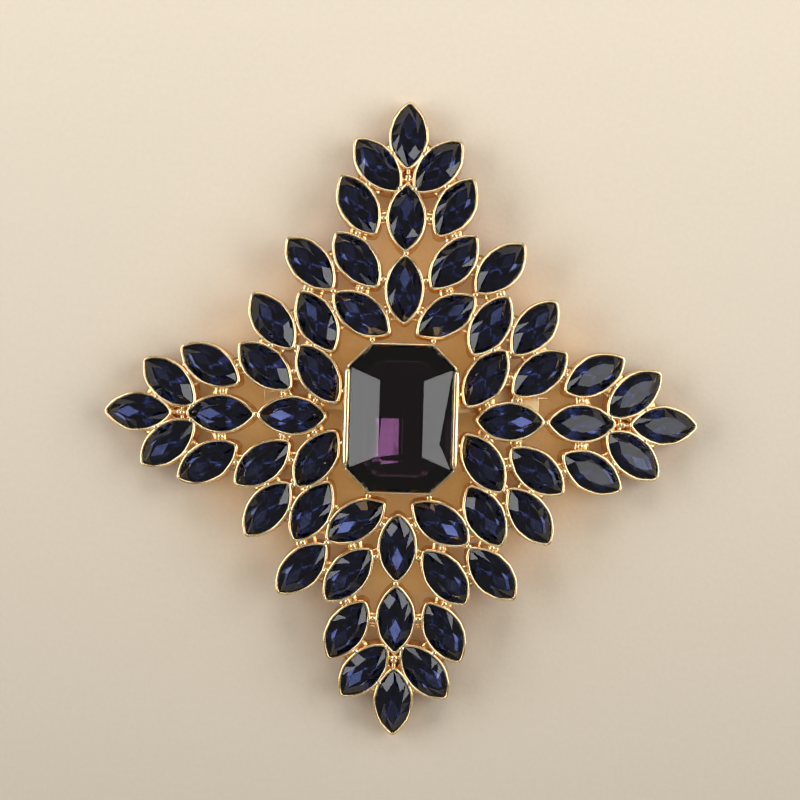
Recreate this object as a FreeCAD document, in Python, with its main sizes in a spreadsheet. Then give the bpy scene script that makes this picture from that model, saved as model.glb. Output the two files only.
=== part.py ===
import FreeCAD, Part
import math
import os
from itertools import combinations

import Sketcher
from FreeCAD import Placement, Rotation, Vector

# A star-shaped dress brooch: one cast frame of closed-back cups, a large step-cut centre stone,
# fifty-six navette stones, and a swinging pin with a turning safety catch behind.
# Millimetres. The face looks along +Z and the top arm points along +Y. The brooch lies face up
# on its four arm tips, and the origin is on the table under its centre.

# Driving dimensions, in millimetres: alias, value, meaning.
SIZES = (
    ("stone_length", 8.0, "navette stone, tip to tip at its girdle"),
    ("stone_width", 4.2, "navette stone, across its girdle"),
    ("girdle_thickness", 0.2, "straight band round each navette stone"),
    ("crown_height", 0.85, "navette girdle to table"),
    ("crown_inset", 1.0, "how far the navette table stands in from the girdle"),
    ("pavilion_depth", 1.5, "navette girdle down to its flat culet"),
    ("pavilion_inset", 1.5, "how far the navette culet stands in from the girdle"),
    ("stone_clearance", 0.05, "glue gap round any stone in its cup"),
    ("cup_wall", 0.3, "wall of a navette cup at its rim"),
    ("cup_draft", 0.1, "how much thicker that wall is at the base"),
    ("cup_height", 2.8, "navette cup, base to rim"),
    ("rim_lip", 0.1, "cup rim over the top of the stone's girdle"),
    ("seat_width", 0.35, "sloping ledge that carries a navette stone"),
    ("cup_floor", 0.45, "closed back of a navette cup"),
    ("bridge_radius", 0.5, "round bars cast between neighbouring cups"),
    ("bridge_reach", 1.25, "widest gap between two cups that always gets a bar"),
    ("bridge_height", 1.2, "bar's axis over the base of the cups"),
    ("bridge_embed", 0.5, "length of bar buried in each cup wall"),
    ("centre_width", 13.0, "centre stone across"),
    ("centre_length", 18.0, "centre stone along the top and bottom arms"),
    ("centre_corner", 2.75, "corner cut from each side of the centre stone"),
    ("centre_girdle", 0.5, "straight band round the centre stone"),
    ("centre_crown", 2.3, "centre stone girdle to table"),
    ("centre_crown_inset", 3.8, "how far its table stands in from the girdle"),
    ("centre_pavilion", 3.0, "centre stone girdle down to its flat culet"),
    ("centre_pavilion_inset", 4.3, "how far its culet stands in from the girdle"),
    ("centre_sunk", 0.3, "depth of that girdle below the rim of its cup"),
    ("centre_wall", 0.3, "wall of the centre cup"),
    ("centre_seat", 0.6, "sloping ledge that carries the centre stone"),
    ("centre_floor", 0.8, "closed back of the centre cup"),
    ("centre_proud", 1.4, "rim of the centre cup over the rims of the navette cups"),
    ("rail_width", 0.45, "extra thickness of the rail on each long side"),
    ("rail_lift", 0.3, "rails over the rim of the centre cup"),
    ("back_gap", 0.4, "flat back of the centre cup below the dome over the ends of the bar"),
    ("table_gap", 0.15, "room under the catch when the brooch lies on a table"),
    ("pin_line", 3.0, "the pin runs this far above the brooch's middle"),
    ("bar_length", 34.0, "stamped bar that carries the pin"),
    ("bar_width", 4.2, "the same bar, across"),
    ("bar_thickness", 0.7, "the same bar, sheet thickness"),
    ("pin_drop", 1.5, "pin's axis below the bar"),
    ("stem_diameter", 1.0, "pin stem"),
    ("taper_length", 4.4, "long taper of the stem where it enters the catch"),
    ("taper_diameter", 0.8, "stem at the end of that taper"),
    ("point_length", 2.6, "ground point of the pin stem"),
    ("point_diameter", 0.2, "blunt end of that point"),
    ("point_overhang", 1.2, "point past the end of the bar"),
    ("hinge_setback", 2.0, "hinge axis in from the end of the bar"),
    ("eye_diameter", 2.2, "round eye at the end of the stem"),
    ("eye_width", 2.2, "the eye along its rivet"),
    ("eye_side_gap", 0.1, "play between the eye and each ear"),
    ("ear_thickness", 0.5, "each ear folded down from the bar"),
    ("ear_radius", 1.2, "rounded end of an ear"),
    ("rivet_diameter", 1.0, "hinge rivet"),
    ("rivet_clearance", 0.04, "radial play of the eye on its rivet"),
    ("head_diameter", 1.7, "upset heads of the rivet"),
    ("head_height", 0.3, "the same heads, thickness"),
    ("catch_setback", 3.6, "middle of the catch in from the end of the bar"),
    ("catch_length", 2.4, "catch housing along the pin"),
    ("catch_diameter", 3.0, "catch housing, outside"),
    ("catch_neck", 2.2, "neck that joins the housing to the bar, across"),
    ("lock_diameter", 2.2, "turning lock inside the housing"),
    ("lock_clearance", 0.05, "radial play of the lock in the housing"),
    ("lock_side_gap", 0.1, "play between the housing and each collar"),
    ("lock_bore_gap", 0.12, "room round the stem inside the lock"),
    ("mouth_gap", 0.12, "room each side of the stem in the mouths"),
    ("collar_diameter", 2.7, "collars at the two ends of the lock"),
    ("collar_thickness", 0.5, "the same collars, thickness"),
    ("tab_reach", 2.6, "finger tab of the lock, out from the pin's axis"),
    ("tab_width", 0.9, "the same tab, across"),
)

# One arm, measured outward from the edge of the centre stone: stones on the arm's own line
# point along it, and mirrored pairs stand beside it and lean away from it, in degrees.
ON_LINE = (("inner", 6.95), ("middle", 15.8), ("tip", 26.0))
PAIRS = (
    ("first", 3.8, 5.25, 56.0),
    ("second", 10.45, 6.0, 39.0),
    ("third", 17.25, 6.0, 30.0),
    ("fourth", 22.25, 3.78, 40.0),
)
# Three stones fill each corner between two arms, measured out and up from the corner of the
# box round the centre stone, and leaning from the vertical, in degrees.
CORNERS = (("outer", 5.25, 9.85, 43.0), ("side", 9.7, 2.6, 38.0), ("inner", 4.2, 2.75, 30.0))
# The layout above is drawn for navette stones of 8 by 4.2 and opens out for larger ones.
SPREAD = "max(Sizes.stone_length / 8; Sizes.stone_width / 4.2)"
ARMS = (("top", 90.0, "centre_length"), ("right", 0.0, "centre_width"),
        ("bottom", 270.0, "centre_length"), ("left", 180.0, "centre_width"))
QUARTERS = (("upper_right", 1, 1), ("upper_left", -1, 1), ("lower_left", -1, -1), ("lower_right", 1, -1))

OUTLINE_STEPS = 24  # points along each side of an outline when the nearest gap is sought
CUT_THROUGH = "1"  # how far a cutting tool runs past the face it opens

# The two arcs of a navette outline: their radius, and how far each centre is off the long axis.
ARC_RADIUS = "((Sizes.stone_length^2 + Sizes.stone_width^2) / (4 * Sizes.stone_width))"
ARC_OFFSET = "(%s - Sizes.stone_width / 2)" % ARC_RADIUS
BASE_RADIUS = "(%s + Sizes.stone_clearance + Sizes.cup_wall + Sizes.cup_draft)" % ARC_RADIUS
CUP_HALF_LENGTH = "sqrt(%s^2 - %s^2)" % (BASE_RADIUS, ARC_OFFSET)
SEAT_HEIGHT = "(Sizes.cup_height - Sizes.rim_lip - Sizes.girdle_thickness)"
# From the middle to the end of an arm that starts at either edge of the centre stone.
ARM_REACH = "((Sizes.%%s / 2 + %s) * %s + %s)" % (ON_LINE[-1][1], SPREAD, CUP_HALF_LENGTH)
SIDE_REACH = ARM_REACH % "centre_width"
TOP_REACH = ARM_REACH % "centre_length"
# Heights over the table, stacked from the catch upward.
PIN_HEIGHT = "(Sizes.table_gap + Sizes.catch_diameter / 2)"
BAR_BOTTOM = "(%s + Sizes.pin_drop)" % PIN_HEIGHT
CENTRE_BACK = "(%s + Sizes.bar_thickness)" % BAR_BOTTOM
DOME_RISE = "((%s + Sizes.back_gap) / (1 - (Sizes.bar_length / 2 / %s)^2))" % (CENTRE_BACK, SIDE_REACH)
CENTRE_RIM = "(%s + Sizes.cup_height + Sizes.centre_proud)" % DOME_RISE
CENTRE_SEAT = "(%s - Sizes.centre_sunk)" % CENTRE_RIM
HINGE_X = "(Sizes.hinge_setback - Sizes.bar_length / 2)"
CATCH_X = "(Sizes.bar_length / 2 - Sizes.catch_setback)"
POINT_END_X = "(Sizes.bar_length / 2 + Sizes.point_overhang)"
ALONG_X = Rotation(Vector(0, 1, 0), 90)
ALONG_Y = Rotation(Vector(1, 0, 0), -90)

doc = FreeCAD.newDocument("brooch")
sheet = doc.addObject("Spreadsheet::Sheet", "Sizes")
for row, (alias, value, meaning) in enumerate(SIZES, start=1):
    sheet.set("A%d" % row, meaning)
    sheet.set("B%d" % row, str(value))
    sheet.setAlias("B%d" % row, alias)
doc.recompute()


def measure(expression):
    """Present value of an expression in the sheet's sizes."""
    return float(sheet.evalExpression(expression))


# ---------------------------------------------------------------- sketches, bodies, primitives


def new_body(name):
    """Empty body named after what it makes."""
    body = doc.addObject("PartDesign::Body", name)
    body.Label = name
    return body


def new_sketch(body, role, name, lift="0"):
    """Sketch on one of the body's own origin planes, lifted off it by an expression."""
    plane = [feature for feature in body.Origin.OriginFeatures if feature.Role == role][0]
    sketch = body.newObject("Sketcher::SketchObject", name)
    sketch.AttachmentSupport = [(plane, "")]
    sketch.MapMode = "FlatFace"
    sketch.setExpression("AttachmentOffset.Base.z", lift)
    return sketch


def draw_outline(sketch, corners):
    """Closed outline of straight lines through corners given as pairs of expressions."""
    points = [Vector(measure(across), measure(up), 0) for across, up in corners]
    first = sketch.GeometryCount
    for start, end in zip(points, points[1:] + points[:1]):
        sketch.addGeometry(Part.LineSegment(start, end))
    for index, corner in enumerate(corners):
        line = first + index
        following = first + (index + 1) % len(corners)
        sketch.addConstraint(Sketcher.Constraint("Coincident", line, 2, following, 1))
        for kind, expression in zip(("DistanceX", "DistanceY"), corner):
            held = sketch.addConstraint(
                Sketcher.Constraint(kind, -1, 1, line, 1, measure(expression))
            )
            sketch.setExpression("Constraints[%d]" % held, expression)


def turned_body(name, profile):
    """Body turned about its own Z axis from an outline of (radius, height) expressions."""
    body = new_body(name)
    sketch = new_sketch(body, "XZ_Plane", name + "_profile")
    draw_outline(sketch, profile)
    turning = body.newObject("PartDesign::Revolution", name + "_turning")
    turning.Profile = sketch
    turning.ReferenceAxis = (sketch, ["V_Axis"])
    turning.Angle = 360
    return body


def padded(body, sketch, name, height, taper=None, downward=False):
    """Pad of a sketch by an expression, narrowing by a taper where one is given."""
    pad = body.newObject("PartDesign::Pad", name)
    pad.Profile = sketch
    pad.setExpression("Length", height)
    pad.Reversed = downward
    if taper:
        pad.setExpression("TaperAngle", taper)
    return pad


def primitive(kind, name, sizes, corner, turn=None):
    """Part primitive whose sizes and place are expressions."""
    piece = doc.addObject(kind, name)
    for key, expression in sizes.items():
        piece.setExpression(key, expression)
    if turn:
        piece.Placement = Placement(Vector(), turn)
    for key, expression in zip("xyz", corner):
        piece.setExpression("Placement.Base." + key, expression)
    return piece


def block(name, low, extent):
    """Box from its low corner, with its extents along X, Y and Z."""
    return primitive("Part::Box", name, dict(zip(("Length", "Width", "Height"), extent)), low)


def rod(name, radius, length, start, turn):
    """Round rod from the middle of its first end."""
    return primitive("Part::Cylinder", name, {"Radius": radius, "Height": length}, start, turn)


def joined(name, pieces):
    """One solid from several overlapping ones."""
    union = doc.addObject("Part::MultiFuse", name)
    union.Shapes = pieces
    return union


def cut(name, base, tool):
    """Base with the tool taken away."""
    result = doc.addObject("Part::Cut", name)
    result.Base = base
    result.Tool = tool
    return result


def placed_copy(name, source, placement):
    """Another one of a template, at a place of its own."""
    copy = doc.addObject("App::Link", name)
    copy.LinkedObject = source
    copy.Placement = placement
    return copy


# ---------------------------------------------------------------- navette stone, cup and pocket


def navette_form(name, profile):
    """Navette-shaped solid: what two equal turnings on either side of the long axis share."""
    turning = turned_body(name + "_half", profile)
    halves = []
    for side, sign in (("near", "-"), ("far", "")):
        half = placed_copy(name + "_" + side, turning, Placement())
        half.setExpression("Placement.Base.y", sign + ARC_OFFSET)
        halves.append(half)
    form = doc.addObject("Part::MultiCommon", name)
    form.Shapes = halves
    return form


def navette_stone():
    """Foil-backed stone: flat culet, sloping pavilion, straight girdle, sloping crown, table."""
    culet = "%s - Sizes.pavilion_depth" % SEAT_HEIGHT
    girdle_top = "%s + Sizes.girdle_thickness" % SEAT_HEIGHT
    table = "%s + Sizes.crown_height" % girdle_top
    return navette_form("navette_stone", (
        ("0", culet),
        (ARC_RADIUS + " - Sizes.pavilion_inset", culet),
        (ARC_RADIUS, SEAT_HEIGHT),
        (ARC_RADIUS, girdle_top),
        (ARC_RADIUS + " - Sizes.crown_inset", table),
        ("0", table),
    ))


def navette_cup():
    """Outside of a cup, a little thicker at its base."""
    rim = ARC_RADIUS + " + Sizes.stone_clearance + Sizes.cup_wall"
    return navette_form("navette_cup", (
        ("0", "0"),
        (BASE_RADIUS, "0"),
        (rim, "Sizes.cup_height"),
        ("0", "Sizes.cup_height"),
    ))


def navette_pocket():
    """Inside of a cup: a well, a ledge that slopes like the stone's pavilion, and a straight wall."""
    well = ARC_RADIUS + " - Sizes.seat_width"
    wall = ARC_RADIUS + " + Sizes.stone_clearance"
    ledge_foot = "%s - Sizes.seat_width * Sizes.pavilion_depth / Sizes.pavilion_inset" % SEAT_HEIGHT
    opening = "Sizes.cup_height + " + CUT_THROUGH
    return navette_form("navette_pocket", (
        ("0", "Sizes.cup_floor"),
        (well, "Sizes.cup_floor"),
        (well, ledge_foot),
        (ARC_RADIUS, SEAT_HEIGHT),
        (wall, SEAT_HEIGHT),
        (wall, opening),
        ("0", opening),
    ))


# ---------------------------------------------------------------- where the cups sit


def dome_height(across, up):
    """Height of the cups' bases over the table: a shallow dome that comes down at every tip."""
    fall = (across / measure(SIDE_REACH)) ** 2 + (up / measure(TOP_REACH)) ** 2
    return measure(DOME_RISE) * (1 - fall)


def on_dome(across, up, heading):
    """Place of a cup: square on the dome, its stone's girdle over that point in plan."""
    steep = 2 * measure(DOME_RISE)
    normal = Vector(steep * across / measure(SIDE_REACH) ** 2, steep * up / measure(TOP_REACH) ** 2, 1)
    normal.normalize()
    turn = Rotation(Vector(0, 0, 1), normal).multiply(Rotation(Vector(0, 0, 1), heading))
    seat = measure(SEAT_HEIGHT)
    return Placement(Vector(across, up, dome_height(across, up) + seat) - normal * seat, turn)


def lowered(nodes):
    """The same places, let down until the lowest end of any cup meets the table."""
    end = measure(CUP_HALF_LENGTH)
    lowest = min(
        place.multVec(Vector(side * end, 0, 0)).z
        for places in nodes.values() for place in places for side in (1, -1)
    )
    drop = Placement(Vector(0, 0, -lowest), Rotation())
    return {name: [drop.multiply(place) for place in places] for name, places in nodes.items()}


def arm_place(edge, arm_angle, outward, aside, lean):
    """Place of a cup beside an arm's line, at a distance outward from the centre stone's edge."""
    along = (measure("Sizes.%s / 2" % edge) + outward) * measure(SPREAD)
    sideways = aside * measure(SPREAD)
    cosine = math.cos(math.radians(arm_angle))
    sine = math.sin(math.radians(arm_angle))
    return on_dome(along * cosine - sideways * sine, along * sine + sideways * cosine, arm_angle + lean)


def corner_place(side, rise, outward, upward, lean):
    """Place of a cup in one corner between two arms."""
    across = side * (measure("Sizes.centre_width / 2") + outward) * measure(SPREAD)
    up = rise * (measure("Sizes.centre_length / 2") + upward) * measure(SPREAD)
    leaning = math.radians(lean)
    heading = math.degrees(math.atan2(rise * math.cos(leaning), side * math.sin(leaning)))
    return on_dome(across, up, heading)


def stone_places():
    """Every navette node's name with the places of its stones: one each, or a mirrored pair."""
    nodes = {}
    for arm, angle, edge in ARMS:
        for name, outward in ON_LINE:
            nodes["%s_%s_stone" % (arm, name)] = [arm_place(edge, angle, outward, 0, 0)]
        for name, outward, aside, lean in PAIRS:
            nodes["%s_%s_pair" % (arm, name)] = [
                arm_place(edge, angle, outward, side * aside, side * lean) for side in (1, -1)
            ]
    for quarter, side, rise in QUARTERS:
        for name, outward, upward, lean in CORNERS:
            place = corner_place(side, rise, outward, upward, lean)
            nodes["%s_%s_stone" % (quarter, name)] = [place]
    return lowered(nodes)


# ---------------------------------------------------------------- centre stone and its cup


def octagon(grow="0"):
    """Corners of the centre stone's outline, moved outward all round by an expression."""
    across = "(Sizes.centre_width / 2 + (%s))" % grow
    up = "(Sizes.centre_length / 2 + (%s))" % grow
    corner = "(Sizes.centre_corner + (%s) * (2 - sqrt(2)))" % grow
    near_across = "(%s - %s)" % (across, corner)
    near_up = "(%s - %s)" % (up, corner)
    return (
        (across, near_up), (near_across, up), ("-" + near_across, up), ("-" + across, near_up),
        ("-" + across, "-" + near_up), ("-" + near_across, "-" + up),
        (near_across, "-" + up), (across, "-" + near_up),
    )


def octagon_pad(body, name, grow, lift, height, taper=None, downward=False):
    """Octagonal pad, straight or tapered, from a height over the table."""
    sketch = new_sketch(body, "XY_Plane", name + "_outline", lift)
    draw_outline(sketch, octagon(grow))
    return padded(body, sketch, name, height, taper, downward)


PAVILION_TAPER = "-atan(Sizes.centre_pavilion_inset / Sizes.centre_pavilion)"


def centre_stone():
    """Large stone: tapered crown and pavilion on either side of a straight girdle."""
    body = new_body("centre_stone")
    girdle_top = CENTRE_SEAT + " + Sizes.centre_girdle"
    crown_taper = "-atan(Sizes.centre_crown_inset / Sizes.centre_crown)"
    octagon_pad(body, "girdle", "0", CENTRE_SEAT, "Sizes.centre_girdle")
    octagon_pad(body, "crown", "0", girdle_top, "Sizes.centre_crown", crown_taper)
    octagon_pad(body, "pavilion", "0", CENTRE_SEAT, "Sizes.centre_pavilion", PAVILION_TAPER, True)
    return body


def centre_cup():
    """Outside of the centre cup, with a thick rail standing up along each long side."""
    body = new_body("centre_cup")
    gap = "Sizes.stone_clearance"
    height = "%s - %s" % (CENTRE_RIM, CENTRE_BACK)
    octagon_pad(body, "cup_wall", gap + " + Sizes.centre_wall", CENTRE_BACK, height)
    inner = "(Sizes.centre_width / 2 + %s)" % gap
    outer = "(%s + Sizes.centre_wall + Sizes.rail_width)" % inner
    end = "(Sizes.centre_length / 2 - Sizes.centre_corner)"
    for name, sign in (("right_rail", ""), ("left_rail", "-")):
        sketch = new_sketch(body, "XY_Plane", name + "_outline", CENTRE_BACK)
        draw_outline(sketch, (
            (sign + inner, "-" + end), (sign + outer, "-" + end), (sign + outer, end), (sign + inner, end),
        ))
        padded(body, sketch, name, height + " + Sizes.rail_lift")
    return body


def centre_pocket():
    """Inside of the centre cup: a well, a ledge sloping like the pavilion, and a straight wall."""
    body = new_body("centre_pocket")
    ledge_depth = "(Sizes.centre_seat * Sizes.centre_pavilion / Sizes.centre_pavilion_inset)"
    floor = "(%s + Sizes.centre_floor)" % CENTRE_BACK
    opening = "Sizes.centre_sunk + Sizes.rail_lift + " + CUT_THROUGH
    octagon_pad(body, "well", "-Sizes.centre_seat", floor, "%s - %s" % (CENTRE_SEAT, floor))
    octagon_pad(body, "ledge", "0", CENTRE_SEAT, ledge_depth, PAVILION_TAPER, True)
    octagon_pad(body, "mouth", "Sizes.stone_clearance", CENTRE_SEAT, opening)
    return body


# ---------------------------------------------------------------- the casting


def cup_outline(place):
    """Points round the core of a cup's wall, at the height of the bars."""
    radius = measure(BASE_RADIUS + " - Sizes.bridge_embed")
    offset = measure(ARC_OFFSET)
    half_angle = math.acos(offset / radius)
    points = []
    for side in (1, -1):
        for step in range(OUTLINE_STEPS + 1):
            angle = half_angle * (2 * step / OUTLINE_STEPS - 1)
            away = side * (radius * math.cos(angle) - offset)
            points.append(place.multVec(
                Vector(radius * math.sin(angle), away, measure("Sizes.bridge_height"))
            ))
    return points


def centre_outline():
    """Points round the core of the centre cup's wall, at the height of the bars."""
    core = "Sizes.stone_clearance + Sizes.centre_wall - Sizes.bridge_embed"
    corners = [(measure(across), measure(up)) for across, up in octagon(core)]
    points = []
    for start, end in zip(corners, corners[1:] + corners[:1]):
        for step in range(OUTLINE_STEPS):
            part = step / OUTLINE_STEPS
            across = start[0] + part * (end[0] - start[0])
            up = start[1] + part * (end[1] - start[1])
            points.append(Vector(across, up, dome_height(across, up) + measure("Sizes.bridge_height")))
    return points


def bar_ends(places):
    """Ends of every cast bar: each narrow gap gets one, and so does each group still apart."""
    outlines = [centre_outline()] + [cup_outline(place) for place in places]
    middles = [Vector()] + [place.Base for place in places]
    far = measure("2 * %s + Sizes.centre_length / 2 + Sizes.bridge_reach" % CUP_HALF_LENGTH)
    gaps = []
    for one, other in combinations(range(len(outlines)), 2):
        if middles[one].distanceToPoint(middles[other]) < far:
            nearest = min(
                ((start.distanceToPoint(end), index, start, end)
                 for index, start in enumerate(outlines[one]) for end in outlines[other]),
                key=lambda gap: gap[:2],
            )
            gaps.append((nearest[0], one, other, nearest[2], nearest[3]))
    gaps.sort(key=lambda gap: gap[:3])
    limit = measure("Sizes.bridge_reach + 2 * Sizes.bridge_embed")
    group = list(range(len(outlines)))
    bars = []
    for distance, one, other, start, end in gaps:
        if distance < limit or group[one] != group[other]:
            bars.append((start, end))
            merged = group[other]
            group = [group[one] if label == merged else label for label in group]
    return bars


def cast_bars(places):
    """The round bars between the cups."""
    bars = []
    for number, (start, end) in enumerate(bar_ends(places), start=1):
        bar = doc.addObject("Part::Cylinder", "bar_%d" % number)
        bar.setExpression("Radius", "Sizes.bridge_radius")
        bar.Height = start.distanceToPoint(end)
        bar.Placement = Placement(start, Rotation(Vector(0, 0, 1), end - start))
        bars.append(bar)
    return bars


def cast_frame(places):
    """One casting: all the cups, the bars between them and the centre cup, then every pocket."""
    cup = navette_cup()
    pocket = navette_pocket()
    solids = [centre_cup()] + cast_bars(places)
    hollows = [centre_pocket()]
    for number, place in enumerate(places, start=1):
        solids.append(placed_copy("cup_%d" % number, cup, place))
        hollows.append(placed_copy("pocket_%d" % number, pocket, place))
    return cut("cast_frame", joined("casting_blank", solids), joined("pockets", hollows))


# ---------------------------------------------------------------- pin, hinge and catch


def pin_bar():
    """Stamped bar soldered across the back of the centre cup, with two ears for the hinge."""
    parts = [block(
        "bar_plate",
        ("-Sizes.bar_length / 2", "Sizes.pin_line - Sizes.bar_width / 2", BAR_BOTTOM),
        ("Sizes.bar_length", "Sizes.bar_width", "Sizes.bar_thickness"),
    )]
    inner = "(Sizes.eye_width / 2 + Sizes.eye_side_gap)"
    for name, start in (
        ("upper_ear", "Sizes.pin_line + " + inner),
        ("lower_ear", "Sizes.pin_line - %s - Sizes.ear_thickness" % inner),
    ):
        parts.append(block(
            name + "_web",
            (HINGE_X + " - Sizes.ear_radius", start, PIN_HEIGHT),
            ("2 * Sizes.ear_radius", "Sizes.ear_thickness", "Sizes.pin_drop"),
        ))
        parts.append(rod(
            name + "_end", "Sizes.ear_radius", "Sizes.ear_thickness", (HINGE_X, start, PIN_HEIGHT), ALONG_Y,
        ))
    hole = rod(
        "rivet_hole", "Sizes.rivet_diameter / 2", "Sizes.bar_width",
        (HINGE_X, "Sizes.pin_line - Sizes.bar_width / 2", PIN_HEIGHT), ALONG_Y,
    )
    return cut("pin_bar", joined("bar_and_ears", parts), hole)


def hinge_rivet():
    """Rivet through both ears and the eye, headed over at each end."""
    half = "(Sizes.eye_width / 2 + Sizes.eye_side_gap + Sizes.ear_thickness)"
    start = "Sizes.pin_line - " + half
    length = "2 * " + half
    foot = (HINGE_X, start, PIN_HEIGHT)
    parts = [rod("rivet_shank", "Sizes.rivet_diameter / 2", length, foot, ALONG_Y)]
    for name, place in (
        ("rivet_lower_head", start + " - Sizes.head_height"),
        ("rivet_upper_head", "Sizes.pin_line + " + half),
    ):
        foot = (HINGE_X, place, PIN_HEIGHT)
        parts.append(rod(name, "Sizes.head_diameter / 2", "Sizes.head_height", foot, ALONG_Y))
    return joined("hinge_rivet", parts)


def pin_stem():
    """Straight stem with a taper and a ground point, and a round eye that turns on the rivet."""
    point_start = "(%s - Sizes.point_length)" % POINT_END_X
    taper_start = "(%s - Sizes.taper_length)" % point_start
    eye_start = "Sizes.pin_line - Sizes.eye_width / 2"
    parts = [rod(
        "stem_wire", "Sizes.stem_diameter / 2", "%s - %s" % (taper_start, HINGE_X),
        (HINGE_X, "Sizes.pin_line", PIN_HEIGHT), ALONG_X,
    )]
    for name, start, length, thick, thin in (
        ("stem_taper", taper_start, "Sizes.taper_length", "Sizes.stem_diameter", "Sizes.taper_diameter"),
        ("stem_point", point_start, "Sizes.point_length", "Sizes.taper_diameter", "Sizes.point_diameter"),
    ):
        parts.append(primitive(
            "Part::Cone", name, {"Radius1": thick + " / 2", "Radius2": thin + " / 2", "Height": length},
            (start, "Sizes.pin_line", PIN_HEIGHT), ALONG_X,
        ))
    eye_foot = (HINGE_X, eye_start, PIN_HEIGHT)
    eye = rod("stem_eye", "Sizes.eye_diameter / 2", "Sizes.eye_width", eye_foot, ALONG_Y)
    bore = rod(
        "eye_bore", "Sizes.rivet_diameter / 2 + Sizes.rivet_clearance", "Sizes.eye_width",
        (HINGE_X, eye_start, PIN_HEIGHT), ALONG_Y,
    )
    return cut("pin_stem", joined("stem_and_eye", parts + [eye]), bore)


def mouth(name, start, length):
    """Slot that opens a catch part downward, a little wider than the stem."""
    width = "(Sizes.stem_diameter + 2 * Sizes.mouth_gap)"
    depth = "Sizes.catch_diameter"
    return block(
        name, (start, "Sizes.pin_line - %s / 2" % width, "%s - %s" % (PIN_HEIGHT, depth)),
        (length, width, depth),
    )


def catch_housing():
    """Fixed half of the catch: a ring open at the bottom, on a neck under the bar."""
    start = CATCH_X + " - Sizes.catch_length / 2"
    ring = rod(
        "housing_ring", "Sizes.catch_diameter / 2", "Sizes.catch_length",
        (start, "Sizes.pin_line", PIN_HEIGHT), ALONG_X,
    )
    neck = block(
        "housing_neck", (start, "Sizes.pin_line - Sizes.catch_neck / 2", PIN_HEIGHT),
        ("Sizes.catch_length", "Sizes.catch_neck", "Sizes.pin_drop"),
    )
    bore = rod(
        "housing_bore", "Sizes.lock_diameter / 2 + Sizes.lock_clearance", "Sizes.catch_length",
        (start, "Sizes.pin_line", PIN_HEIGHT), ALONG_X,
    )
    opening = joined("housing_opening", [bore, mouth("housing_mouth", start, "Sizes.catch_length")])
    return cut("catch_housing", joined("housing_blank", [ring, neck]), opening)


def catch_lock():
    """Turning half of the catch: a slotted barrel with two collars and a finger tab."""
    half = "(Sizes.catch_length / 2 + Sizes.lock_side_gap + Sizes.collar_thickness)"
    start = "%s - %s" % (CATCH_X, half)
    far_collar = "%s + %s - Sizes.collar_thickness" % (CATCH_X, half)
    length = "2 * " + half
    foot = (start, "Sizes.pin_line", PIN_HEIGHT)
    parts = [rod("lock_barrel", "Sizes.lock_diameter / 2", length, foot, ALONG_X)]
    for name, place in (("near_collar", start), ("far_collar", far_collar)):
        parts.append(rod(
            name, "Sizes.collar_diameter / 2", "Sizes.collar_thickness",
            (place, "Sizes.pin_line", PIN_HEIGHT), ALONG_X,
        ))
    parts.append(block(
        "finger_tab", (far_collar, "Sizes.pin_line", PIN_HEIGHT + " - Sizes.tab_width / 2"),
        ("Sizes.collar_thickness", "Sizes.tab_reach", "Sizes.tab_width"),
    ))
    bore = rod(
        "lock_bore", "Sizes.stem_diameter / 2 + Sizes.lock_bore_gap", length,
        (start, "Sizes.pin_line", PIN_HEIGHT), ALONG_X,
    )
    opening = joined("lock_opening", [bore, mouth("lock_mouth", start, length)])
    return cut("catch_lock", joined("lock_blank", parts), opening)


# ---------------------------------------------------------------- the whole brooch


def navette_nodes(nodes):
    """One node for each stone or mirrored pair of stones."""
    stone = navette_stone()
    groups = []
    for name, places in nodes.items():
        group = doc.addObject("Part::Compound", name)
        group.Links = [
            placed_copy("%s_%d" % (name, number), stone, place)
            for number, place in enumerate(places, start=1)
        ]
        groups.append(group)
    return groups


def brooch():
    """Every sub-part of the brooch."""
    nodes = stone_places()
    places = [place for group in nodes.values() for place in group]
    return [
        cast_frame(places), centre_stone(), *navette_nodes(nodes),
        pin_bar(), hinge_rivet(), pin_stem(), catch_housing(), catch_lock(),
    ]


def check(parts):
    """Stop if any object failed or any sub-part is not a sound solid."""
    for item in doc.Objects:
        if {"Invalid", "Error"} & set(item.State):
            raise RuntimeError("%s did not build: %s" % (item.Name, item.State))
    for part in parts:
        if part.Shape.isNull() or not part.Shape.isValid() or not part.Shape.Solids:
            raise RuntimeError("%s has no sound shape" % part.Name)


def write(parts):
    """One STEP file for each sub-part, named after it."""
    os.makedirs("parts", exist_ok=True)
    for part in parts:
        part.Label = part.Name
        part.Shape.exportStep("parts/%s.step" % part.Label)
        print("%-28s %d solids %9.3f mm3" % (part.Label, len(part.Shape.Solids), part.Shape.Volume))


sub_parts = brooch()
doc.recompute()
check(sub_parts)
write(sub_parts)
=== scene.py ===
"""Looks of a star-shaped dress brooch: gold-plated casting, navy navettes, a purple centre stone.

Lengths inside the classes are millimetres, as a jeweller gives them; meshes are in metres.
The face looks along +Z and the top arm points along +Y.
"""

import logging
import math
from dataclasses import dataclass, field
from enum import Enum
from typing import Iterable, Sequence

import bmesh
import bpy
import numpy as np
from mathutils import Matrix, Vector, noise


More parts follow.
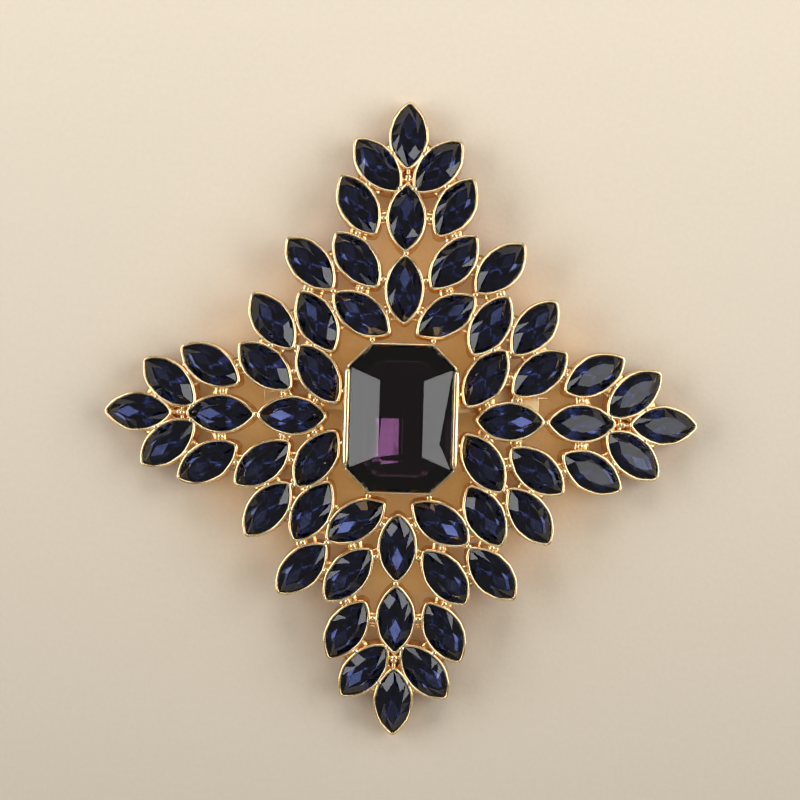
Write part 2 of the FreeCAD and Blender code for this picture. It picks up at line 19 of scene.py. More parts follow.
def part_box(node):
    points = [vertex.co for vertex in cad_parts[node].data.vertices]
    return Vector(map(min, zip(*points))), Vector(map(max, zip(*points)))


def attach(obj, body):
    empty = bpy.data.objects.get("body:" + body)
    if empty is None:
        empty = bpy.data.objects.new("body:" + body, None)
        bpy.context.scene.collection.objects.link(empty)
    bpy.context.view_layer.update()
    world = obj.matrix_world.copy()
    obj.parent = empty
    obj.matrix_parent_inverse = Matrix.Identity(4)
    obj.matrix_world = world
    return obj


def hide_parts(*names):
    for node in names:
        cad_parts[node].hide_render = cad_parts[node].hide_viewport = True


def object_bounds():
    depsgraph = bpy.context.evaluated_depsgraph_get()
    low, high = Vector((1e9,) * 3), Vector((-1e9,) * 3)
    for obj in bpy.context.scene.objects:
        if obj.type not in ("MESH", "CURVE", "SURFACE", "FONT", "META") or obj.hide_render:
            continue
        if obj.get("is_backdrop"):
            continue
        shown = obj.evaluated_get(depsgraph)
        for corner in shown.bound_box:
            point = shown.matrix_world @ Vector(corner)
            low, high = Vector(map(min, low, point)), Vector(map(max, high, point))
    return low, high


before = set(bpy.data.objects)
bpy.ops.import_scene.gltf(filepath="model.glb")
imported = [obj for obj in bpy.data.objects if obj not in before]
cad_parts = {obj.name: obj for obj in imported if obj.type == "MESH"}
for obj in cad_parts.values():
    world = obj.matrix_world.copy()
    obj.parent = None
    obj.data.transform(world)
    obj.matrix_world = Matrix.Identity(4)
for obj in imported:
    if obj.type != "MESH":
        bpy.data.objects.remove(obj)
CAD_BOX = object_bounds()

MM = 0.001
WELD = MM / 1000
NOISE_SPAN = (0.3, 0.7)
FACES_FRONT = 0.5
log = logging.getLogger("brooch")

Vertex = bmesh.types.BMVert
Colour = tuple[float, float, float, float]


class Body(str, Enum):
    """The three bodies that move against each other."""

    BROOCH = "brooch"
    PIN = "pin"
    LOCK = "lock"


class Slot(str, Enum):
    """Material slots of the part."""

    CAST = "cast_gold"
    STAMPED = "stamped_gold"
    WIRE = "gilt_wire"
    NAVY = "navy_stone"
    PURPLE = "purple_stone"


class Side(Enum):
    """Which coat of a stone a facet wears."""

    CRYSTAL = 0
    FOIL = 1
    FLASH = 2


class WearAndShade(float, Enum):
    """How light the gold is: painted shade darkens it in recesses and on side walls, and rims and bead
    tops are lighter from rubbing wear and a painted highlight.
    """

    RECESS = 0.0
    SIDE = 0.1
    FOOT = 0.2
    FOOT_EDGE = 0.3
    WEB = 0.35
    FINDING = 0.4
    BAR = 0.45
    STONE = 0.5
    BEAD = 0.55
    RAIL = 0.9
    FULL = 1.0


# ---- finishes


def shader_of(name: str) -> tuple[bpy.types.Material, bpy.types.Node]:
    """Start a node-based material.

    Args:
        name: name of the new material.

    Returns:
        The material and its surface shader.
    """
    material = bpy.data.materials.new(name)
    material.use_nodes = True
    return material, material.node_tree.nodes["Principled BSDF"]


def speckle(tree: bpy.types.NodeTree, scale: float, detail: float = 3.0) -> bpy.types.NodeSocket:
    """Add an even noise over the piece.

    Args:
        tree: node tree of the finish.
        scale: grains per metre.
        detail: how many finer layers the noise has.

    Returns:
        The noise's value.
    """
    place = tree.nodes.new("ShaderNodeTexCoord")
    grain = tree.nodes.new("ShaderNodeTexNoise")
    grain.inputs["Scale"].default_value = scale
    grain.inputs["Detail"].default_value = detail
    tree.links.new(place.outputs["Object"], grain.inputs["Vector"])
    return grain.outputs["Fac"]


def spread(
    tree: bpy.types.NodeTree, value: bpy.types.NodeSocket, low: float, high: float
) -> bpy.types.NodeSocket:
    """Stretch a noise between two numbers.

    Args:
        tree: node tree of the finish.
        value: noise to stretch.
        low: result where the noise is low.
        high: result where the noise is high.

    Returns:
        The stretched value.
    """
    ramp = tree.nodes.new("ShaderNodeMapRange")
    ramp.inputs["From Min"].default_value = NOISE_SPAN[0]
    ramp.inputs["From Max"].default_value = NOISE_SPAN[1]
    ramp.inputs["To Min"].default_value = low
    ramp.inputs["To Max"].default_value = high
    tree.links.new(value, ramp.inputs["Value"])
    return ramp.outputs["Result"]


def blended(
    tree: bpy.types.NodeTree, factor: bpy.types.NodeSocket, low: Colour, high: Colour
) -> bpy.types.NodeSocket:
    """Mix two colours by a value.

    Args:
        tree: node tree of the finish.
        factor: value from 0 to 1.
        low: colour at 0.
        high: colour at 1.

    Returns:
        The mixed colour.
    """
    mix = tree.nodes.new("ShaderNodeMix")
    mix.data_type = "RGBA"
    mix.inputs["A"].default_value = low
    mix.inputs["B"].default_value = high
    tree.links.new(factor, mix.inputs["Factor"])
    return mix.outputs["Result"]


def bumped(
    tree: bpy.types.NodeTree, shader: bpy.types.Node, height: bpy.types.NodeSocket, depth: float
) -> None:
    """Give a finish a fine relief.

    Args:
        tree: node tree of the finish.
        shader: surface shader that gets the relief.
        height: pattern of the relief.
        depth: how deep it is, in metres.
    """
    bump = tree.nodes.new("ShaderNodeBump")
    bump.inputs["Distance"].default_value = depth
    bump.inputs["Strength"].default_value = 1.0
    tree.links.new(height, bump.inputs["Height"])
    tree.links.new(bump.outputs["Normal"], shader.inputs["Normal"])


@dataclass(frozen=True)
class Plating:
    """Gold plating over cast, stamped or drawn metal: lighter on rubbed edges with a painted highlight,
    redder and darker in recesses and on side walls with painted shade.
    """

    name: str
    # First colour: rubbed edges with a painted highlight; second colour: painted shade in recesses and
    # on side walls.
    bright: Colour
    deep: Colour
    smooth: float = 0.2
    rough: float = 0.36
    grain: float = 900.0
    relief: float = 0.000012
    cloud: float = 3.0
    wear: float = 0.35

    def material(self) -> bpy.types.Material:
        """Make the plating.

        Returns:
            A metal whose colour follows each spot's rubbing wear and its painted shade and highlight,
            with a cast or brushed grain.
        """
        material, shader = shader_of(self.name)
        tree = material.node_tree
        # Per-vertex value, mixed with a random cloud: rubbing wear on rims plus painted shade in
        # recesses and on side walls and a painted highlight on rims and bead tops.
        wear_and_shade = tree.nodes.new("ShaderNodeAttribute")
        wear_and_shade.attribute_name = "wear_and_shade"
        cloud = speckle(tree, self.grain / self.cloud)
        wear_shade_mix = tree.nodes.new("ShaderNodeMath")
        wear_shade_mix.operation = "MULTIPLY_ADD"
        wear_shade_mix.use_clamp = True
        wear_shade_mix.inputs[1].default_value = self.wear
        tree.links.new(cloud, wear_shade_mix.inputs[0])
        tree.links.new(wear_and_shade.outputs["Fac"], wear_shade_mix.inputs[2])
        gold = blended(tree, wear_shade_mix.outputs[0], self.deep, self.bright)
        tree.links.new(gold, shader.inputs["Base Color"])
        pits = speckle(tree, self.grain, 4.0)
        tree.links.new(spread(tree, pits, self.smooth, self.rough), shader.inputs["Roughness"])
        bumped(tree, shader, pits, self.relief)
        shader.inputs["Metallic"].default_value = 1.0
        return material


@dataclass(frozen=True)
class Crystal:
    """Coloured glass above a stone's girdle, with faint polishing marks."""

    name: str
    tint: Colour
    deeper: Colour
    index: float = 1.54
    cloud: float = 700.0
    marks: float = 2500.0
    mark_depth: float = 0.0000006
    smooth: float = 0.01
    rough: float = 0.04

    def material(self) -> bpy.types.Material:
        """Make the glass.

        Returns:
            A clear coloured glass, a little uneven in depth of colour.
        """
        material, shader = shader_of(self.name)
        tree = material.node_tree
        cloud = speckle(tree, self.cloud)
        tree.links.new(blended(tree, cloud, self.tint, self.deeper), shader.inputs["Base Color"])
        fine = speckle(tree, self.marks, 2.0)
        tree.links.new(spread(tree, fine, self.smooth, self.rough), shader.inputs["Roughness"])
        bumped(tree, shader, fine, self.mark_depth)
        shader.inputs["IOR"].default_value = self.index
        shader.inputs["Transmission Weight"].default_value = 1.0
        return material


@dataclass(frozen=True)
class Foil:
    """Mirror foil on a stone's pavilion, seen through the glass."""

    name: str
    colour: Colour
    dull: Colour
    cloud: float = 900.0
    smooth: float = 0.05
    rough: float = 0.16

    def material(self) -> bpy.types.Material:
        """Make the foil.

        Returns:
            A coloured mirror, slightly cloudy.
        """
        material, shader = shader_of(self.name)
        tree = material.node_tree
        cloud = speckle(tree, self.cloud, 4.0)
        tree.links.new(blended(tree, cloud, self.colour, self.dull), shader.inputs["Base Color"])
        tree.links.new(spread(tree, cloud, self.smooth, self.rough), shader.inputs["Roughness"])
        shader.inputs["Metallic"].default_value = 1.0
        return material


@dataclass(frozen=True)
class Cloth:
    """Smooth cream cloth the brooch lies on."""

    name: str = "cream_cloth"
    light: Colour = (0.86, 0.76, 0.615, 1.0)
    shade: Colour = (0.80, 0.70, 0.56, 1.0)
    # Painted shade: the colour is multiplied from the near grey at the front to the far white at the
    # back, across this span in metres either side of the middle.
    near: Colour = (0.71, 0.715, 0.72, 1.0)
    far: Colour = (1.0, 1.0, 1.0, 1.0)
    shade_span: float = 0.05
    weave: float = 1600.0
    relief: float = 0.00003
    roughness: float = 0.9

    def material(self) -> bpy.types.Material:
        """Make the cloth.

        Returns:
            A matt cloth with a fine, faint weave, and painted shade that darkens it toward the front.
        """
        material, shader = shader_of(self.name)
        tree = material.node_tree
        weave = speckle(tree, self.weave, 5.0)
        # Painted shade: a gradient along the cloth's Y multiplies the weave colour, darker toward the
        # front.
        place = tree.nodes.new("ShaderNodeTexCoord")
        parts = tree.nodes.new("ShaderNodeSeparateXYZ")
        ramp = tree.nodes.new("ShaderNodeMapRange")
        ramp.inputs["From Min"].default_value = -self.shade_span
        ramp.inputs["From Max"].default_value = self.shade_span
        tree.links.new(place.outputs["Object"], parts.inputs["Vector"])
        tree.links.new(parts.outputs["Y"], ramp.inputs["Value"])
        painted_falloff = tree.nodes.new("ShaderNodeMix")
        painted_falloff.data_type = "RGBA"
        painted_falloff.blend_type = "MULTIPLY"
        painted_falloff.inputs["Factor"].default_value = 1.0
        tree.links.new(blended(tree, weave, self.shade, self.light), painted_falloff.inputs["A"])
        tree.links.new(blended(tree, ramp.outputs["Result"], self.near, self.far), painted_falloff.inputs["B"])
        tree.links.new(painted_falloff.outputs["Result"], shader.inputs["Base Color"])
        bumped(tree, shader, weave, self.relief)
        shader.inputs["Roughness"].default_value = self.roughness
        return material


CAST_GOLD = Plating(
    "cast_gold_plate", (1.0, 0.77, 0.44, 1.0), (0.80, 0.43, 0.14, 1.0), smooth=0.14, rough=0.30
)
STAMPED_GOLD = Plating(
    "stamped_gold_plate", (0.98, 0.78, 0.46, 1.0), (0.85, 0.58, 0.27, 1.0),
    smooth=0.26, rough=0.42, grain=1400.0,
)
GILT_WIRE = Plating(
    "gilt_wire_plate", (1.0, 0.82, 0.52, 1.0), (0.9, 0.65, 0.34, 1.0),
    smooth=0.16, rough=0.28, grain=1800.0, relief=0.000006,
)
NAVY_CRYSTAL = Crystal("navy_crystal", (0.48, 0.50, 0.60, 1.0), (0.42, 0.44, 0.56, 1.0))
NAVY_FOIL = Foil("navy_foil", (0.10, 0.125, 0.25, 1.0), (0.06, 0.072, 0.155, 1.0))
PURPLE_CRYSTAL = Crystal("purple_crystal", (0.56, 0.44, 0.52, 1.0), (0.50, 0.40, 0.48, 1.0))
PURPLE_FOIL = Foil("purple_foil", (0.035, 0.018, 0.030, 1.0), (0.025, 0.012, 0.020, 1.0))
PURPLE_FLASH = Foil("purple_flash_foil", (0.13, 0.06, 0.13, 1.0), (0.10, 0.045, 0.10, 1.0))


# ---- mesh making


@dataclass
class Shell:
    """A mesh in the making, whose spots carry a value that mixes rubbing wear with painted shade and
    painted highlight.
    """

    mesh: bmesh.types.BMesh = field(default_factory=bmesh.new)

    def __post_init__(self) -> None:
        """Give every vertex a value of rubbing wear and painted shade."""
        self.wear_and_shade = self.mesh.verts.layers.float.new("wear_and_shade")

    def ring(self, points: Iterable[Vector], wear_and_shade: float = WearAndShade.STONE) -> list[Vertex]:
        """Add a row of vertices.

        Args:
            points: places in metres.
            wear_and_shade: 1 for rubbed with a painted highlight, 0 for a recess in painted shade.

        Returns:
            The new vertices in order.
        """
        row = []
        for point in points:
            vertex = self.mesh.verts.new(point)
            vertex[self.wear_and_shade] = wear_and_shade
            row.append(vertex)
        return row

    def face(self, corners: Sequence[Vertex], coat: int = 0, smooth: bool = False) -> None:
        """Add one face.

        Args:
            corners: its vertices, counter-clockwise from outside.
            coat: number of its material.
            smooth: whether it shades smoothly into its neighbours.
        """
        made = self.mesh.faces.new(corners)
        made.material_index = coat
        made.smooth = smooth

    def band(self, lower: Sequence[Vertex], upper: Sequence[Vertex], smooth: bool = True) -> None:
        """Close the strip between two rings of equal count.

        Args:
            lower: ring that runs counter-clockwise below.
            upper: ring above it.
            smooth: whether the strip shades smoothly.
        """
        for index, corner in enumerate(lower):
            after = (index + 1) % len(lower)
            self.face((corner, lower[after], upper[after], upper[index]), smooth=smooth)

    def lofted(self, rings: Sequence[Sequence[Vertex]], smooth: bool = True) -> None:
        """Close a body of rings from its flat first end to its flat last end.

        Args:
            rings: rings of equal count, each counter-clockwise seen from the last end.
            smooth: whether its strips shade smoothly.
        """
        for lower, upper in zip(rings, rings[1:]):
            self.band(lower, upper, smooth)
        self.face(list(reversed(rings[0])))
        self.face(rings[-1])

    def piece(
        self,
        name: str,
        coats: Sequence[bpy.types.Material],
        slot: Slot,
        body: Body,
        nodes: Sequence[str],
    ) -> bpy.types.Object:
        """Turn the shell into a piece of the brooch.

        Args:
            name: name of the piece.
            coats: materials its faces are numbered for.
            slot: material slot of the part; not used.
            body: body it moves with.
            nodes: solids it stands for.

        Returns:
            The finished piece.
        """
        bmesh.ops.recalc_face_normals(self.mesh, faces=self.mesh.faces)
        data = bpy.data.meshes.new(name)
        self.mesh.to_mesh(data)
        self.mesh.free()
        for coat in coats:
            data.materials.append(coat)
        made = bpy.data.objects.new(name, data)
        bpy.context.scene.collection.objects.link(made)
        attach(made, body.value)
        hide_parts(*nodes)
        log.info("%s: %d faces", name, len(data.polygons))
        return made


# ---- places of the stones


@dataclass(frozen=True)
class Seat:
    """Where a stone sits: the middle of its girdle and its own three directions."""

    middle: Vector
    along: Vector
    aside: Vector
    up: Vector

    def place(self, flat: Sequence[float], height: float) -> Vector:
        """Point over the girdle's middle, from millimetres across, along and up."""
        offset = self.aside * flat[0] + self.along * flat[1] + self.up * height
        return self.middle + offset * MM


def islands(mesh: bmesh.types.BMesh) -> list[list[Vertex]]:
    """Part a mesh into its separate lumps.

    Args:
        mesh: mesh of one or more closed solids.

    Returns:
        The vertices of each solid.
    """
    unseen = dict.fromkeys(mesh.verts)
    groups = []
    while unseen:
        group = [next(iter(unseen))]
        unseen.pop(group[0])
        for vertex in group:
            for edge in vertex.link_edges:
                other = edge.other_vert(vertex)
                if other in unseen:
                    unseen.pop(other)
                    group.append(other)
        groups.append(group)
    return groups


def table_normal(group: Sequence[Vertex]) -> Vector:
    """Find which way a stone's table looks.

    Args:
        group: vertices of the stone's solid.

    Returns:
        Normal of its largest flat stretch that faces the front.
    """
    areas: dict[tuple[float, ...], float] = {}
    for face in {face for vertex in group for face in vertex.link_faces}:
        if face.normal.z > FACES_FRONT:
            key = tuple(round(part, 3) for part in face.normal)
            areas[key] = areas.get(key, 0.0) + face.calc_area()
    return Vector(max(areas, key=lambda key: areas[key])).normalized()


def seats_of(node: str) -> list[Seat]:
    """Read where the stones of one node sit.

    Args:
        node: name of a solid or pair of solids in the frame.

    Returns:
        One seat for each stone in it.
    """
    mesh = bmesh.new()
    mesh.from_mesh(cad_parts[node].data)
    bmesh.ops.remove_doubles(mesh, verts=mesh.verts, dist=WELD)
    mesh.normal_update()
    seats = []
    for group in islands(mesh):
        up = table_normal(group)
        points = np.array([vertex.co for vertex in group])
        gaps = ((points[:, None, :] - points[None, :, :]) ** 2).sum(axis=2)
        first, second = np.unravel_index(gaps.argmax(), gaps.shape)
        start, end = Vector(points[first]), Vector(points[second])
        middle = (start + end) / 2
        along = (end - start) - up * (end - start).dot(up)
        if along.dot(middle) < 0:
            along.negate()
        along.normalize()
        seats.append(Seat(middle, along, along.cross(up), up))
    mesh.free()
    return seats


# ---- navette stones


@dataclass(frozen=True)
class Navette:
    """Outline of a pointed oval made of two equal arcs, in millimetres."""

    length: float = 8.0
    width: float = 4.2

    @property
    def radius(self) -> float:
        """Radius of each arc."""
        return (self.length**2 + self.width**2) / (4 * self.width)

    @property
    def offset(self) -> float:
        """How far each arc's centre is off the long axis."""
        return self.radius - self.width / 2

    def inset(self, depth: float, turn: float) -> tuple[float, float]:
        """Point of the outline drawn in by some depth.

        Args:
            depth: how far inside the full outline.
            turn: place round it, 0 at the far tip, 2 at the near tip and 4 at the far tip again.

        Returns:
            The point, across and along.
        """
        radius = self.radius - depth
        reach = math.acos(self.offset / radius)
        side = 1 if turn < 2 else -1
        angle = reach * (1 - turn % 2)
        return side * (radius * math.cos(angle) - self.offset), side * radius * math.sin(angle)

    def outset(
        self, out: float, side_steps: int = 16, tip_steps: int = 5
    ) -> list[tuple[float, float]]:
        """Outline grown by an even distance, round at its tips.

        Args:
            out: how far outside the stone.
            side_steps: stretches along each side.
            tip_steps: stretches round each tip.

        Returns:
            Points counter-clockwise, across and along.
        """
        reach = math.acos(self.offset / self.radius)
        points = []
        for side in (1, -1):
            for step in range(side_steps + 1):
                angle = reach * (2 * step / side_steps - 1)
                grown = self.radius + out
                across = grown * math.cos(angle) - self.offset
                points.append((side * across, side * grown * math.sin(angle)))
            for step in range(1, tip_steps):
                angle = reach + (math.pi - 2 * reach) * step / tip_steps
                along = self.length / 2 + out * math.sin(angle)
                points.append((side * out * math.cos(angle), side * along))
        return points


@dataclass(frozen=True)
class NavetteCut:
    """Faceting of a foil-backed navette: a narrow table, eight crown facets, and a keel below."""

    outline: Navette = Navette()
    girdle: float = 0.2
    crown: float = 0.85
    table_inset: float = 1.0
    belt_inset: float = 0.8
    belt_depth: float = 0.75
    keel: float = 0.15
    keel_depth: float = 1.67
    kite_middle: float = 1.45
    kite_half_width: float = 0.65
    mains: int = 8

    def build(self, shell: Shell, seat: Seat) -> None:
        """Cut one stone.

        Args:
            shell: mesh the stone goes into.
            seat: place of the stone.
        """
        count = self.mains
        main = [4 * index / count for index in range(count)]
        all_round = [2 * index / count for index in range(2 * count)]
        half = self.girdle / 2

        def ring(inset: float, height: float, turns: Sequence[float]) -> list[Vertex]:
            """Corners of the stone at one inset and height."""
            return shell.ring([seat.place(self.outline.inset(inset, turn), height) for turn in turns])

        top = ring(0, half, all_round)
        bottom = ring(0, -half, all_round)
        table = ring(self.table_inset, half + self.crown, main)
        belt = ring(self.belt_inset, -half - self.belt_depth, main)
        crystal, foil = Side.CRYSTAL.value, Side.FOIL.value
        shell.face(table, crystal)
        for index in range(count):
            after = (index + 1) % count
            start, middle, last = 2 * index, 2 * index + 1, (2 * index + 2) % (2 * count)
            shell.face((table[index], top[start], top[middle], top[last], table[after]), crystal)
            shell.face((top[start], bottom[start], bottom[middle], top[middle]), foil)
            shell.face((top[middle], bottom[middle], bottom[last], top[last]), foil)
            shell.face((belt[index], belt[after], bottom[last], bottom[middle], bottom[start]), foil)
        self.culet(shell, seat, belt)

    def culet(self, shell: Shell, seat: Seat, belt: Sequence[Vertex]) -> None:
        """Close the stone's back: a kite toward each tip and steeper facets beside it.

        Args:
            shell: mesh the stone goes into.
            seat: place of the stone.
            belt: eight corners the back starts from, from the far tip.
        """
        foil = Side.FOIL.value
        tip = self.outline.inset(self.belt_inset, 0)[1]
        rise = (self.keel_depth - self.belt_depth) / (tip - self.keel)
        middle_depth = self.keel_depth - rise * (self.kite_middle - self.keel)
        keels, kites = [], []
        for sign in (1, -1):
            keels += shell.ring([seat.place((0, sign * self.keel), -self.girdle / 2 - self.keel_depth)])
            kites.append(shell.ring([
                seat.place((side * sign * self.kite_half_width, sign * self.kite_middle),
                           -self.girdle / 2 - middle_depth)
                for side in (1, -1)
            ]))
        quarter = len(belt) // 4
        for end, start in ((0, 0), (1, 2 * quarter)):
            keel, (right, left) = keels[end], kites[end]
            next_one, next_two = belt[start + 1], belt[start + 2]
            last_one, last_two = belt[start - 1], belt[start - 2]
            shell.face((belt[start], right, keel, left), foil)
            shell.face((belt[start], next_one, right), foil)
            shell.face((next_one, next_two, keel, right), foil)
            shell.face((belt[start], left, last_one), foil)
            shell.face((last_one, left, keel, last_two), foil)
        shell.face((belt[quarter], keels[1], keels[0]), foil)
        shell.face((belt[3 * quarter], keels[0], keels[1]), foil)


# ---- cups


@dataclass(frozen=True)
class Wall:
    """Section of a cup: rounded foot, slight draft, round rim and the floor inside."""

    clearance: float
    thickness: float
    height: float
    floor: float
    foot: float
    draft: float = 0.0
    foot_curve: float = 0.3
    rim_steps: int = 6

    def rows(self) -> list[tuple[float, float, float]]:
        """List the rings of the wall.

        Returns:
            Distance outside the stone, height and a value of rubbing wear with painted shade and
            highlight, from the foot over the rim to the floor.
        """
        outer = self.clearance + self.thickness
        base = outer + self.draft
        curve = self.foot * self.foot_curve
        # The outer wall's middle and the inner floor get painted shade; the rim's crest gets rubbing
        # wear and a painted highlight.
        rows = [
            (base - self.foot, 0.0, WearAndShade.FOOT),
            (base - curve, curve, WearAndShade.FOOT_EDGE),
            (base, self.foot, WearAndShade.SIDE),
            (outer + self.draft / 2, self.height / 2, WearAndShade.RECESS),
        ]
        half = self.thickness / 2
        for step in range(self.rim_steps + 1):
            angle = math.pi * step / self.rim_steps
            out = self.clearance + half + math.cos(angle) * half
            height = self.height - half + math.sin(angle) * half
            rows.append((out, height, WearAndShade.BAR + (WearAndShade.FULL - WearAndShade.BAR) * math.sin(angle)))
        rows.append((self.clearance, self.floor, WearAndShade.RECESS))
        return rows


@dataclass
class NavetteCup:
    """Closed-back cup of one navette stone, with a thin rounded rim."""

    seat: Seat
    core: Navette = Navette(7.2, 3.5)
    blunting: float = 0.35
    wall: Wall = Wall(clearance=0.0, thickness=0.4, height=2.82, floor=0.5, foot=0.2, draft=0.07)
    girdle_height: float = 2.6
    true_skin: float = 0.01
    wobble: float = 0.1
    waves: float = 650.0
    ripples: float = 900.0
    ripple_shift: tuple[float, float, float] = (7.0, 3.0, 5.0)

    def outline(self, out: float, height: float) -> list[Vector]:
        """Points round the cup, some way outside the stone and over the cup's base."""
        flat = self.core.outset(self.blunting + out)
        return [self.seat.place(point, height - self.girdle_height) for point in flat]

    def cast(self, point: Vector, out: float) -> Vector:
        """Point of the wall after casting, which leaves it slightly uneven.

        Args:
            point: place by design.
            out: distance outside the stone; the inner wall stays true.

        Returns:
            The uneven place.
        """
        if out <= self.wall.clearance + self.true_skin:
            return point
        lift = noise.noise(point * self.waves) * self.wobble
        away = noise.noise(point * self.ripples + Vector(self.ripple_shift)) * self.wobble
        outward = (point - self.seat.middle).normalized()
        return point + (outward * away + self.seat.up * min(lift, 0.0)) * MM

    def build(self, shell: Shell) -> None:
        """Raise the cup.

        Args:
            shell: mesh the cup goes into.
        """
        rings = []
        for out, height, wear_and_shade in self.wall.rows():
            points = [self.cast(point, out) for point in self.outline(out, height)]
            rings.append(shell.ring(points, wear_and_shade))
        shell.lofted(rings)


def octagon(
    width: float, length: float, corner: float, inset: float = 0.0
) -> list[tuple[float, float]]:
    """Lay out an octagon with straight cut corners.

    Args:
        width: its size across.
        length: its size along.
        corner: length cut from each side at a corner.
        inset: how far inside that outline the points stand.

    Returns:
        Points counter-clockwise from the right side's upper corner, across and along.
    """
    across, along = width / 2 - inset, length / 2 - inset
    short = corner - inset * (2 - math.sqrt(2))
    corners = [(across, along - short), (across - short, along)]
    half = corners + [(-x, y) for x, y in reversed(corners)]
    return half + [(-x, -y) for x, y in half]


@dataclass
class CentreCup:
    """Cup of the step-cut centre stone: an octagon with a rail along each long side."""

    seat: Seat
    width: float = 13.0
    length: float = 18.0
    corner: float = 2.75
    wall: Wall = Wall(clearance=-0.08, thickness=0.4, height=5.8, floor=0.8, foot=0.35)
    girdle_height: float = 5.7
    side_steps: int = 8
    rail_width: float = 0.9
    rail_overlap: float = 0.26
    rail_lift: float = 0.36
    rail_depth: float = 1.3
    rail_end: float = 0.35
    rail_squareness: int = 14
    rail_wobble: float = 0.03
    rail_waves: float = 500.0
    rail_steps: int = 24
    rail_sides: int = 16

    def flat(self, out: float) -> list[tuple[float, float]]:
        """Octagon grown by an even distance.

        Args:
            out: how far outside the stone.

        Returns:
            Points counter-clockwise, across and along.
        """
        points = octagon(self.width, self.length, self.corner)
        grown = []
        for index, (x, y) in enumerate(points):
            before, after = points[index - 1], points[(index + 1) % len(points)]
            first = math.atan2(y - before[1], x - before[0]) - math.pi / 2
            second = math.atan2(after[1] - y, after[0] - x) - math.pi / 2
            for turn in (first, second):
                grown.append((x + out * math.cos(turn), y + out * math.sin(turn)))
        dense = []
        for index, (x, y) in enumerate(grown):
            after = grown[(index + 1) % len(grown)]
            for step in range(self.side_steps):
                share = step / self.side_steps
                dense.append((x + (after[0] - x) * share, y + (after[1] - y) * share))
        return dense

    def outline(self, out: float, height: float) -> list[Vector]:
        """Points round the cup, some way outside the stone and over the cup's base."""
        return [self.seat.place(point, height - self.girdle_height) for point in self.flat(out)]

    def build(self, shell: Shell) -> None:
        """Raise the cup's wall, rim and floor.

        Args:
            shell: mesh the cup goes into.
        """
        shell.lofted([
            shell.ring(self.outline(out, height), wear_and_shade) for out, height, wear_and_shade in self.wall.rows()
        ])

    def build_rail(self, shell: Shell, side: int) -> None:
        """Lay one of the two thick rounded rails on the rim.

        Args:
            shell: mesh the rail goes into.
            side: 1 for the right long side, -1 for the left.
        """
        half = self.length / 2 - self.corner
        thick = self.rail_width / 2
        middle = self.width / 2 - self.rail_overlap + thick
        axis = self.wall.height + self.rail_lift - self.girdle_height - thick
        rings = []
        for step in range(self.rail_steps + 1):
            share = 2 * step / self.rail_steps - 1
            taper = math.sqrt(max(0.0, 1 - abs(share) ** self.rail_squareness))
            radius = thick * (self.rail_end + (1 - self.rail_end) * taper)
            points = []
            for turn in range(self.rail_sides):
                angle = 2 * math.pi * turn / self.rail_sides
                rise = math.sin(angle)
                height = axis + (self.rail_depth if rise < 0 else radius) * rise
                across = side * (middle + radius * math.cos(angle))
                spot = self.seat.place((across, half * share), height)
                uneven = noise.noise(spot * self.rail_waves) * self.rail_wobble * max(rise, 0)
                points.append(spot + self.seat.up * uneven * MM)
            rings.append(shell.ring(points, WearAndShade.RAIL))
        shell.lofted(rings)


# ---- casting between the cups


@dataclass
class Joint:
    """Nearest approach of two cups, as places round their outlines."""

    one: NavetteCup | CentreCup
    other: NavetteCup
    first: int
    second: int
    gap: float


